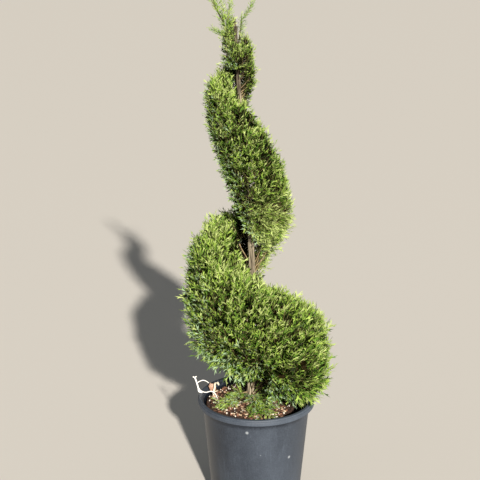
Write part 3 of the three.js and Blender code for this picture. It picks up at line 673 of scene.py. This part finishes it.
# Ramp: the clipped outline that the foliage fills as it climbs the trunk for two and a half turns. It is
# followed by its turn in degrees: 0 is at +X, 90 in front, 180 at -X and 270 behind.
ramp = [
    # turn, foot, under, low, high, crown, reach: heights at the trunk, halfway out and at the edge
    (-55, 335, 330, 335, 380, 395, 110),
    (0, 290, 290, 296, 524, 536, 214),
    (45, 289, 289, 314, 588, 598, 219),
    (90, 328, 354, 400, 640, 624, 195),
    (180, 385, 405, 450, 724, 739, 182),
    (270, 520, 555, 612, 778, 802, 138),
    (360, 672, 708, 746, 897, 966, 113),
    (450, 713, 752, 818, 1048, 1068, 103),
    (540, 870, 925, 990, 1105, 1120, 88),
    (630, 985, 1020, 1055, 1150, 1160, 60),
    (720, 1075, 1085, 1100, 1205, 1215, 39),
    (810, 1135, 1140, 1146, 1186, 1190, 32),
    (900, 1134, 1140, 1154, 1230, 1236, 34),
    (990, 1190, 1200, 1210, 1250, 1258, 22),
]
coils = [
    # name, first turn, last turn, number of masses in the CAD part, whether they hang on boughs
    ("lower_coil", -55, 270, 5, True),
    ("middle_coil", 270, 630, 5, True),
    ("top_coil", 630, 990, 4, False),
]
inner_share = 0.18
core_depth = 0.12


def reach_at(turn):
    """How far the ramp reaches from the trunk's centre line."""
    return follow(ramp, turn)[..., 5]


def on_ramp(turn, radius, z):
    """A point from its turn, its distance from the trunk's centre line and its height."""
    centre = follow(trunk_line, z)
    angle = np.radians(-np.asarray(turn, float))
    x, y = centre[..., 0] + radius * np.cos(angle), centre[..., 1] + radius * np.sin(angle)
    return np.stack(np.broadcast_arrays(x, y, z), -1)


def section(turn, depth):
    """The ramp's outline at a turn, drawn in by a share of its reach: nine distances from the trunk's centre
    and nine heights, from the inner foot round the edge to the inner crown."""
    foot, under, low, high, crown, reach = np.moveaxis(follow(ramp, turn), -1, 0)
    inner = trunk_radius((foot + crown) / 2) + inner_share * reach
    inset = depth * reach
    rise = np.minimum(inset, 0.26 * (high - low))
    edge, lower, upper = reach - inset, low + rise, high - rise
    tall = upper - lower
    halfway = (inner + edge) / 2
    radii = [inner, halfway, 0.9 * edge, 0.99 * edge, edge, 0.97 * edge, 0.86 * edge, halfway, inner]
    heights = [foot + rise, under + rise, lower, lower + 0.22 * tall, lower + 0.5 * tall, lower + 0.78 * tall, upper]
    heights += [(high + crown) / 2 + 0.03 * reach - rise, crown - rise]
    return np.stack(radii, -1), np.stack(heights, -1)


def skin(turn, around, depth):
    """A place on the drawn-in outline: around goes evenly along its sides, from 0 at the inner foot to 1 at
    the inner crown."""
    radii, heights = section(turn, depth)
    sides = np.hypot(np.diff(radii), np.diff(heights))
    run = np.concatenate([0 * sides[..., :1], np.cumsum(sides, -1)], -1)
    at = np.clip(around, 0, 1)[..., None] * run[..., -1:]
    side = np.clip(np.sum(run <= at, -1, keepdims=True) - 1, 0, sides.shape[-1] - 1)
    share = (at - np.take_along_axis(run, side, -1)) / np.take_along_axis(sides, side, -1)
    ends = [np.take_along_axis(value, side + i, -1) for value in (radii, heights) for i in (0, 1)]
    radius = ends[0] + (ends[1] - ends[0]) * share
    z = ends[2] + (ends[3] - ends[2]) * share
    return on_ramp(turn, radius[..., 0], z[..., 0])


def skin_normal(turn, around, depth):
    """Square to the skin, outwards: the cross product of a step round the outline and one along the turn."""
    along = skin(turn + 2, around, depth) - skin(turn - 2, around, depth)
    over = skin(turn, np.clip(around + 0.05, 0, 1), depth) - skin(turn, np.clip(around - 0.05, 0, 1), depth)
    return unit(np.cross(over, along))


# Boughs: one to each mass of the lower and middle coils, with the trunk's bark. They leave the trunk rising and
# end inside the foliage, where the finer branches take over. Two more carry the leading shoots.
bough_steps = 40
bough_sides = 20
bough_girth = 14
bough_bark_depth = 0.7
bough_climb = 0.9
bough_end = 0.35
leader_end = 0.55
bough_paths, bough_radii, bough_nodes = [], [], []
for coil, first, last, count, on_bough in coils:
    if not on_bough:
        continue
    middles = first + (last - first) * (np.arange(count) + 0.5) / count
    radii, heights = section(middles, core_depth)
    middle_heights = (heights[:, 0] + heights[:, -1]) / 2
    at_bark = trunk_radius(middle_heights)
    climb = bough_climb * (radii[:, 0] - at_bark)
    stations = [
        # distance from the trunk's centre, height
        (0 * climb, middle_heights - climb),
        (at_bark + 1, middle_heights - 0.7 * climb),
        (radii[:, 0] - 3.5, middle_heights),
        (radii.mean(1), heights.mean(1) + 0.15 * climb),
    ]
    points = np.stack([on_ramp(middles, *station) for station in stations], 1)
    bough_paths += [path_through(path, bough_steps) for path in points]
    thick = 0.42 * trunk_radius(points[:, 0, 2]) + 0.5
    bough_radii += [radius * np.linspace(1, bough_end, bough_steps) for radius in thick]
    bough_nodes += [f"bough_{coil}_{i + 1}" for i in range(count)]

leaders = [
    # name, line of the bare limb, line of the green stem from there, thickness
    ("leader_left", [(-52, 20, 1192), (-62, 20, 1206), (-74, 19, 1224), (-83, 19, 1244)],
     [(-96, 19, 1270), (-109, 18, 1294), (-124, 18, 1350)], 2.6),
    ("leader_right", [(-50, 20, 1180), (-44, 18, 1202), (-41, 17, 1224)],
     [(-38, 17, 1246), (-26, 16, 1262), (-14, 15, 1284)], 1.8),
]
for name, limb, stem, thick in leaders:
    bough_paths.append(path_through(limb + stem[:1], bough_steps))
    bough_radii.append(thick * np.linspace(1, leader_end, bough_steps))
    bough_nodes.append(f"bough_{name}")

share = np.arange(bough_sides)[None] / bough_sides
along = np.linspace(0, 60, bough_steps)[:, None]
relief = np.stack([bark_relief(share, along, bough_girth, i) for i in range(len(bough_paths))])
make_bark("bough_bark", bough_nodes, np.stack(bough_paths), np.stack(bough_radii), relief, bough_bark_depth)

# Branches: thin brown shoots that rise from the trunk through each mass to its skin and carry the sprays. They
# show in the gaps between the coils and underneath them.
branch_count = 210
branch_steps = 8
branch_depth = 0.22
branch_sway = 0.16
branch_sag = 0.14


def shoot_material(name, dark, pale, roughness):
    """Bark of thin shoots, which changes between two tones in stretches about 25 mm long."""
    material, tree = new_material(name)
    surface(tree, mixed(tree, ranged(tree, noisy(tree, 40, 2), 0.35, 0.65), dark, pale), roughness)
    return material


rng = np.random.default_rng(61)
branch_turns = np.linspace(-45, 985, branch_count) + rng.random(branch_count) * 6
branch_around = 0.06 + 0.88 * rng.random(branch_count)
tips = skin(branch_turns, branch_around, branch_depth)
away = np.linalg.norm(tips - on_axis(tips[:, 2]), axis=1)
fall = (0.5 + 0.6 * rng.random(branch_count)) * away
foot = np.maximum(tips[:, 2] - fall, follow(ramp, branch_turns)[:, 0] - 0.5 * away)
starts = on_axis(np.clip(foot, trunk_foot + 12, trunk_tip - 15))
sideways = (rng.random((branch_count, 2)) - 0.5) * branch_sway * away[:, None]
bends = (starts + tips) / 2 + np.column_stack([sideways, -branch_sag * away])
branch_paths = arcs(starts, bends, tips, branch_steps)
branch_radii = (0.8 + 0.009 * away)[:, None] * np.linspace(1, 0.4, branch_steps)[None]

brown_shoots = shoot_material("young_shoot_bark", "#775f45", "#a99872", 0.75)
mass_nodes = {coil: [f"{coil}_{i + 1}" for i in range(count)] for coil, first, last, count, on_bough in coils}
all_masses = [node for nodes in mass_nodes.values() for node in nodes]
make_piece("branches", *tubes(branch_paths, branch_radii, 6), brown_shoots, "bark", all_masses)

# Sprays: the foliage of the coils. Each spray is a fern-like plume of scale-leaved shoots on alternate sides of
# an axis, and each shoot is a midrib with one fork. Young tips are yellow-green, and the rest goes through mid
# green; sprays facing up and right are painted paler as painted light, and the blue-green underneath on the left
# is painted shade. Old growth, dark and partly dead, fills the inside; its near-black green is partly painted shade.
spray_length = 20
spray_length_share = 0.11
spray_sink = 0.42
spray_shoots = (7, 0.13)  # their number, and their width as a share of their length
old_shoots = (7, 0.34)
tip_start = 0.8
tip_share = 0.34
growth_lean = 0.75
growth_chance = [0.7, 0.7, 0.6]
forks = [
    # start along the shoot, angle in degrees, length: as shares of the shoot's length
    (0, 0, 1),
    (0.4, 30, 0.42),
]
tints = [
    # name, colour, lowest freshness
    ("pale_tips", "#b1c278", 1.0),
    ("young_tips", "#9bb752", 0.84),
    ("light_green", "#7f9e41", 0.67),
    ("leaf_green", "#5d8231", 0.51),
    ("deep_green", "#314a13", 0.36),
    ("shade_green", "#172305", -0.9),
    ("blue_green", "#9ab58f", -9),
]
# Old growth: its near-black green is darker than old leaves are, partly painted shade for the inside of the coils
old_tints = [
    ("old_green_painted_shade", "#131c04", 0.3),
    ("dead_brown", "#261d0e", -9),
]
foliage = {}
for name, colour, lowest in tints + old_tints:
    foliage[name], tree = new_material(f"scale_leaf_{name}")
    surface(tree, linear(colour), 0.5, Specular_IOR_Level=0.13)
green_shoots = shoot_material("green_stalk_bark", "#5f6a36", "#8a7a50", 0.7)


def ramp_top(turn, radius):
    """Height of the ramp's upper face at a distance from the trunk's centre."""
    foot, under, low, high, crown, reach = np.moveaxis(follow(ramp, turn), -1, 0)
    return crown + (high - crown) * np.clip(radius / reach, 0, 1) + 0.05 * reach


def ramp_base(turn, radius):
    """Height of the ramp's lower face at a distance from the trunk's centre."""
    foot, under, low, high, crown, reach = np.moveaxis(follow(ramp, turn), -1, 0)
    share = np.clip(radius / reach, 0, 1)
    inside = foot + (under - foot) * np.minimum(2 * share, 1)
    return inside + (low - under) * np.maximum(2 * share - 1, 0) - 0.05 * reach


# Gap clipped before the trunk's foot: its left and right, how far the right side turns out to the front, its
# back, and its top with the slope by which that rises to the front
foot_gap = (-31, 1, 0.2, 14, 317, 0.47)


def has_room(points, turn):
    """Whether points near a turn keep clear of the coils above and below, the trunk, the gap before its foot,
    the pot's rim and the mix."""
    x, y, z = np.moveaxis(points, -1, 0)
    centre = follow(trunk_line, z)
    radius = np.hypot(x - centre[..., 0], y - centre[..., 1])
    above_lower = (turn - 360 < ramp[0][0]) | (z > ramp_top(turn - 360, radius))
    below_upper = (turn + 360 > ramp[-1][0]) | (z < ramp_base(turn + 360, radius))
    from_pot = np.hypot(x, y)
    over_rim = (from_pot > pot_top_radius - 10) & (from_pot < rim_radius + 3)
    ground = np.where(over_rim, pot_height + 1, mix_top(x, y) + 3)
    left, right, flare, back, top, slope = foot_gap
    forward = back - y
    in_gap = (x > left) & (x < right + flare * forward) & (forward > 0) & (z < top + slope * forward)
    beside_trunk = radius > trunk_radius(z) + 1
    return above_lower & below_upper & beside_trunk & (z > ground) & ~in_gap


def forked(roots, ways, across, lengths, width):
    """Forked shoots. Each part is a kite folded along its middle: foot, tip, and a corner on each side at 45 %
    of its length, raised by half the kite's half width. Parts and width are shares of the shoot's length,
    and the shoot bends up towards its tip. Returns points (shoots, corners, 3) and the triangles of one."""
    over = np.cross(ways, across)
    start, degrees, share = np.array(forks).T
    heading = np.radians(degrees)
    half = width * (0.55 + 0.45 * share) / 2
    ahead, flank = np.array([np.cos(heading), np.sin(heading)]), np.array([-np.sin(heading), np.cos(heading)])
    foot = np.array([start, 0 * start])
    left, right = (foot + 0.45 * share * ahead + hand * half * flank for hand in (1, -1))
    along, aside = np.stack([foot, left, foot + share * ahead, right], -1).reshape(2, -1)
    above = 0.12 * along**2 + np.outer(half, [0, 0.5, 0, 0.5]).ravel()
    local = np.stack([along, aside, above])[:, None, :, None] * lengths[None, :, None, None]
    points = roots[:, None] + local[0] * ways[:, None] + local[1] * across[:, None] + local[2] * over[:, None]
    kite = 4 * np.arange(len(forks))[:, None]
    return points, np.vstack([kite + [0, 2, 1], kite + [0, 3, 2]])


def plumes(roots, ways, sides, lengths, rng, shoots, width):
    """Plumes of shoots on alternate sides of a bent axis: root + length (way t + lift t^2). Returns the
    points of all shoots (plumes, shoots, corners, 3), one shoot's triangles, and each shoot's place t."""
    count = len(roots)
    roots, ways, sides, lengths = roots[:, None], ways[:, None], sides[:, None], lengths[:, None, None]
    t = np.linspace(0.12, 0.92, shoots)[:, None]
    over = unit(np.cross(ways, sides))
    across = unit(np.cross(over, ways))
    lift = (rng.random((count, 1, 1)) - 0.4) * 0.4
    jitter = rng.random((5, count, shoots, 1)) - 0.5
    at = (t + 0.08 * jitter[0]) * lengths
    foot = roots + at * ways + at**2 / lengths * lift * over
    hand = np.where(np.arange(shoots) % 2, 1, -1)[:, None]
    angle = np.radians(30 - 8 * t + 26 * jitter[1])
    raised = 2 * lift * t + 0.7 * jitter[2]
    shoot = unit(np.cos(angle) * ways + np.sin(angle) * hand * across + raised * over)
    flank = square_to(shoot, unit(hand * across + 1.6 * jitter[3] * over))
    size = lengths * (0.56 - 0.2 * t) * (1 + 0.6 * jitter[4])
    # The last shoot goes on from the axis
    tip_foot = roots + (tip_start * ways + tip_start**2 * lift * over) * lengths
    tip_way = unit(ways + 2 * tip_start * lift * over)
    ends = [(foot, tip_foot), (shoot, tip_way), (flank, square_to(tip_way, across))]
    vectors = [np.concatenate(pair, 1).reshape(-1, 3) for pair in ends]
    sizes = np.concatenate([size, tip_share * lengths], 1)
    points, triangles = forked(*vectors, sizes.ravel(), width)
    return points.reshape(count, shoots + 1, -1, 3), triangles, np.append(t, 1)


def stalks(roots, ways, lengths):
    """The axis of each plume as a thin three-sided stem from behind its root to near its tip."""
    start = roots - ways * (0.5 * lengths)[:, None]
    t = np.linspace(0, 1, 3)[None, :, None]
    paths = start[:, None] + t * (roots + ways * lengths[:, None] * 0.85 - start)[:, None]
    return tubes(paths, (0.3 + 0.005 * lengths)[:, None] * np.array([[1.2, 1, 0.4]]), 3)


def make_sprays(name, nodes, leaves, triangles, freshness, palette=tints):
    """One piece for each tint, from the shoots (n, corners, 3) whose freshness falls in its range."""
    highest = np.inf
    for tint, colour, lowest in palette:
        chosen = leaves[(freshness >= lowest) & (freshness < highest)]
        highest = lowest
        if len(chosen):
            faces = copied(triangles, len(chosen), chosen.shape[1])
            make_piece(f"{name}_{tint}", chosen.reshape(-1, 3), faces, foliage[tint], "foliage", nodes)


def growth(normal, points, rng):
    """The way a spray grows: out from the skin and lifted to the light, or level where it is underneath."""
    outward = unit(points - on_axis(points[:, 2]))
    above = eased(np.clip((normal[:, 2:] + 0.8) / 0.9, 0, 1))
    way = normal * (0.28 + 0.16 * above) + outward * growth_lean * (1 - above)
    way[:, 2:] += growth_lean * above
    return unit(way + (rng.random(way.shape) - 0.5) * growth_chance)


def coil_roots(first, last, count, depth, spacing, spacing_share, rng):
    """Places on the outline drawn in by a depth, for each mass rows round the section and columns along the
    turn, moved by chance, and thinned towards the trunk, where the columns close up. Returns turns and places
    round the section."""
    turns, around = [], []
    edges = np.linspace(first, last, count + 1)
    for start, end in zip(edges[:-1], edges[1:]):
        middle = np.array([(start + end) / 2])
        radii, heights = section(middle, depth)
        reach = reach_at(middle)[0]
        girth = np.hypot(np.diff(radii[0]), np.diff(heights[0])).sum()
        arc = np.radians(end - start) * reach * (1 - depth)
        apart = spacing + spacing_share * reach
        rows, columns = round(girth / apart), round(arc / apart)
        row, column = np.meshgrid(np.arange(rows), np.arange(columns), indexing="ij")
        around.append(((row + 0.5 + (rng.random(row.shape) - 0.5) * 0.9) / rows).ravel())
        turns.append((start + (end - start) * (column + rng.random(row.shape)) / columns).ravel())
    turns, around = np.concatenate(turns), np.concatenate(around)
    roots = skin(turns, around, depth)
    share = np.linalg.norm(roots - on_axis(roots[:, 2]), axis=1) / (reach_at(turns) * (1 - depth))
    kept = rng.random(len(turns)) < share**0.35
    return turns[kept], around[kept]


layers = [
    # depth as a share of the reach, spacing of the sprays and its share of the reach, drop in freshness, which
    # paints shade on the inner layer, share of the skin left open in gaps
    (core_depth, 5.6, 0.0125, 0, 0.34),
    (0.27, 10, 0.03, 0.88, 0),
]
gap_width = 15
gap_rows = 40
tuft_degrees = 9
tuft_rows = 18
tuft_depth = 0.11
# Freshness of a spray, and what its normal, chance, its tuft and the top coil add; then what a shoot adds to
# that by its place and by chance. What the normal adds is painted light: sprays that face up and to the right
# are paler, as the lamp lights them.
spray_freshness = -0.27
painted_light_by_normal = [0.03, 0, 0.12]
spray_chance = 0.52
tuft_freshness = 0.25
top_freshness = 0.12
tip_freshness = 1.05
shoot_chance = 0.45
# Underneath the start of the middle coil the sprays are paler: painted light for the sun that reaches them
# there, where the coil has no old growth
sunny_from = 265
open_from = 270
sunny_to = 450
sunny_freshness = 0.42
sky_shade_share = 0.42
old_depth = 0.34
old_spacing = 7
old_spacing_share = 0.024
for number, (coil, first, last, count, on_bough) in enumerate(coils):
    rng = np.random.default_rng(100 + number)
    coil_leaves, coil_freshness, coil_stems = [], [], []
    for depth, spacing, spacing_share, shade, open_share in layers:
        turns, around = coil_roots(first, last, count, depth, spacing, spacing_share, rng)
        gap = noise(np.radians(turns) * reach_at(turns) / gap_width, around * gap_rows + number * 7)
        turns, around = turns[gap > open_share], around[gap > open_share]
        reach = reach_at(turns)
        roots, normals = skin(turns, around, depth), skin_normal(turns, around, depth)
        ways = growth(normals, roots, rng)
        # A few sprays are longer than the rest and stand out of the clipped outline
        lengths = (spray_length + spray_length_share * reach) * (0.76 + 0.52 * rng.random(len(turns)) ** 3)
        # Underneath, the sprays stand nearer the outline and are longer, so that its edge is shaggy
        under = np.clip(-normals[:, 2] * 1.3, 0, 1)
        roots += normals * (0.01 + 0.03 * under[:, None]) * reach[:, None]
        lengths *= 1 + 0.12 * under
        # Tufts: patches of the skin stand out or lie back from the rest
        tuft = noise(turns / tuft_degrees, around * tuft_rows + number * 20) - 0.5
        roots -= normals * ((0.5 - tuft) * tuft_depth * reach)[:, None]
        roots -= ways * (spray_sink * lengths)[:, None]
        sides = unit(np.cross(normals, ways)) + normals * (rng.random((len(turns), 1)) - 0.5) * 3
        tips = roots + ways * lengths[:, None]
        free = has_room(tips, turns) & has_room(roots + ways * 0.5 * lengths[:, None], turns)
        turns, roots, ways, sides, lengths, tuft, normals = (
            value[free] for value in (turns, roots, ways, sides, lengths, tuft, normals)
        )
        leaves, triangles, t = plumes(roots, ways, unit(sides), lengths, rng, *spray_shoots)
        fresh = spray_freshness + normals @ painted_light_by_normal + spray_chance * rng.random(len(turns))
        fresh = fresh + tuft_freshness * tuft + top_freshness * (coil == "top_coil")
        chance = shoot_chance * (rng.random((len(turns), len(t))) - 0.5)
        fresh = fresh[:, None] + tip_freshness * t[None] + chance - shade
        sunny = (turns > sunny_from) & (turns < sunny_to) & (normals[:, 2] < -0.2)
        fresh += (sunny_freshness + shade) * sunny[:, None]
        # The left side is blue-green underneath: painted shade, tinted as sky light tints shadow
        painted_sky_shade = np.clip(normals @ [-0.8, 0, -0.9] - 0.2, 0, 1)[:, None] * (t[None] > 0.3)
        fresh = np.where(rng.random(fresh.shape) < sky_shade_share * painted_sky_shade, -1, np.maximum(fresh, -0.5))
        free = has_room(leaves.mean(2), turns[:, None])
        coil_leaves.append(leaves[free])
        coil_freshness.append(fresh[free])
        coil_stems.append((roots, ways, lengths))
    make_sprays(coil, mass_nodes[coil], np.concatenate(coil_leaves), triangles, np.concatenate(coil_freshness))
    coil_stems = [np.concatenate(values) for values in zip(*coil_stems)]
    make_piece(f"{coil}_stalks", *stalks(*coil_stems), green_shoots, "bark", mass_nodes[coil])

    # Old growth lies inside, at a third of the reach from the clipped outline, tinted near black in part as painted
    # shade
    turns, around = coil_roots(first, last, count, old_depth, old_spacing, old_spacing_share, rng)
    roots, normals = skin(turns, around, old_depth), skin_normal(turns, around, old_depth)
    ways = unit(normals + 1.6 * (rng.random(roots.shape) - 0.5))
    lengths = (10 + 0.26 * reach_at(turns)) * (0.7 + 0.4 * rng.random(len(turns)))
    sides = unit(np.cross(normals, ways) + rng.random(roots.shape) - 0.5)
    roots -= ways * lengths[:, None] * 0.4
    leaves, triangles, t = plumes(roots, ways, sides, lengths, rng, *old_shoots)
    free = has_room(leaves.mean(2), turns[:, None]) & (turns[:, None] < ramp[-2][0])
    free &= ((turns < open_from) | (turns > sunny_to) | (normals[:, 2] > -0.1))[:, None]
    make_sprays(coil, mass_nodes[coil], leaves[free], triangles, rng.random(free.sum()), old_tints)

# Leading shoots: two wands above the top coil and two short ones at its left, with long thin sprays all along
# that reach up. Their stems are this year's wood.
golden_angle = 2.4
angle_chance = 0.8
wand_shoots = (6, 0.09)
leader_lines = [limb[1:] + stem for name, limb, stem, thick in leaders]
wands = [
    # name, node, its line, thickness, number of sprays, their length, lowest freshness
    ("leader_left", "leader_left", leader_lines[0], 2.0, 84, 40, 0.5),
    ("leader_right", "leader_right", leader_lines[1], 1.1, 46, 24, 0.35),
    ("leader_side", "leader_left", [(-57, 19, 1201), (-78, 15, 1208), (-104, 11, 1219)], 1.4, 34, 24, 0.4),
    ("leader_fan", "leader_left", [(-68, 19, 1216), (-71, 17, 1246), (-66, 16, 1280)], 1.2, 26, 25, 0.45),
]


def spiral(path, first, last, count, rng):
    """Places of sprays along a path, the path's way there, and their angles round it, which go on by the
    golden angle and some chance from one to the next."""
    at = np.linspace(first, last, count).astype(int)
    angle = np.arange(count) * golden_angle + rng.random(count) * angle_chance
    return path[at], unit(np.gradient(path, axis=0))[at], angle


def make_stem(name, node, path, thick, end_share, material):
    """The stem along a path, with a ring at every tenth point."""
    line = path[None, ::10]
    radii = thick * np.linspace(1, end_share, line.shape[1])[None]
    make_piece(f"{name}_stem", *tubes(line, radii, 8), material, "bark", [node])


for number, (name, node, line, thick, count, length, lowest) in enumerate(wands):
    rng = np.random.default_rng(300 + number)
    path = path_through(line, 240)
    roots, tangent, angle = spiral(path, 6, 239, count, rng)
    sideways = circle(angle) + [0.5, 0, 0]
    ways = unit(tangent + sideways * np.linspace(0.7, 0.4, count)[:, None] + [0, 0, 0.6])
    sides = unit(np.cross(ways, rng.random((count, 3)) - 0.5))
    lengths = length * (0.75 + 0.45 * rng.random(count)) * np.linspace(1, 0.85, count)
    leaves, triangles, t = plumes(roots, ways, sides, lengths, rng, *wand_shoots)
    fresh = lowest + 0.4 * rng.random((count, 1)) + 0.35 * t[None]
    make_sprays(name, [node], leaves.reshape(-1, *leaves.shape[2:]), triangles, fresh.ravel())
    make_stem(name, node, path, thick, 0.35, green_shoots)

# Low shoots: two soft bright green shoots that lie out over the mix from the trunk's foot, with long thin sprays,
# and a thin upright stem that feeds the left one.
low_shoots = [
    # name, length of its sprays, lowest freshness, line of its stem
    ("foot_shoot_left", 36, 0.58, [(-22, 12, 290), (-44, -16, 295), (-62, -42, 288), (-84, -56, 281)]),
    ("foot_shoot_right", 44, 0.42, [(-11, 10, 288), (-5, -22, 292), (6, -58, 283), (18, -86, 278)]),
]
low_count = 42
low_spray_shoots = (11, 0.1)
low_blue_share = 0.2
# Before the trunk's foot, from left to right, the sprays stay under a height that rises by a slope to the front
low_gap = (-33, 1, 287, 0.45, 5)
for number, (name, length, lowest, stem) in enumerate(low_shoots):
    rng = np.random.default_rng(400 + number)
    path = path_through(stem, 200)
    roots, tangent, angle = spiral(path, 20, 190, low_count, rng)
    sideways = circle(angle, 0.3 * np.abs(np.sin(angle)))
    ways = unit(tangent + 0.75 * sideways + [0, 0, 0.12])
    sides = unit(np.cross(ways, [[0, 0, 1]] + 0.5 * (rng.random((low_count, 3)) - 0.5)))
    lengths = length * (0.75 + 0.4 * rng.random(low_count))
    leaves, triangles, t = plumes(roots, ways, sides, lengths, rng, *low_spray_shoots)
    x, y, z = np.moveaxis(leaves, -1, 0)
    over_mix = np.min(z - mix_top(x, y), axis=2) > 0
    x, y, z = np.moveaxis(leaves.mean(2), -1, 0)
    left, right, low, slope, back = low_gap
    free = over_mix & ((x < left) | (x > right) | (z < low + slope * (back - y)))
    fresh = (lowest + 0.5 * rng.random((low_count, 1)) + 0.25 * t[None])[free]
    fresh[rng.random(len(fresh)) < low_blue_share] = -1
    make_sprays(name, [name], leaves[free], triangles, fresh)
    make_stem(name, name, path, 1.9, 0.4, brown_shoots)
feeder = path_through([(-62, 12, 334), (-54, 17, 317), (-46, 18, 300), (-38, 18, 283), (-36, 17, 266)], 24)
feeder_tube = tubes(feeder[None], np.linspace(1.5, 1.9, 24)[None], 8)
make_piece("foot_feeder", *feeder_tube, foliage["young_tips"], "bark", ["foot_shoot_left"])
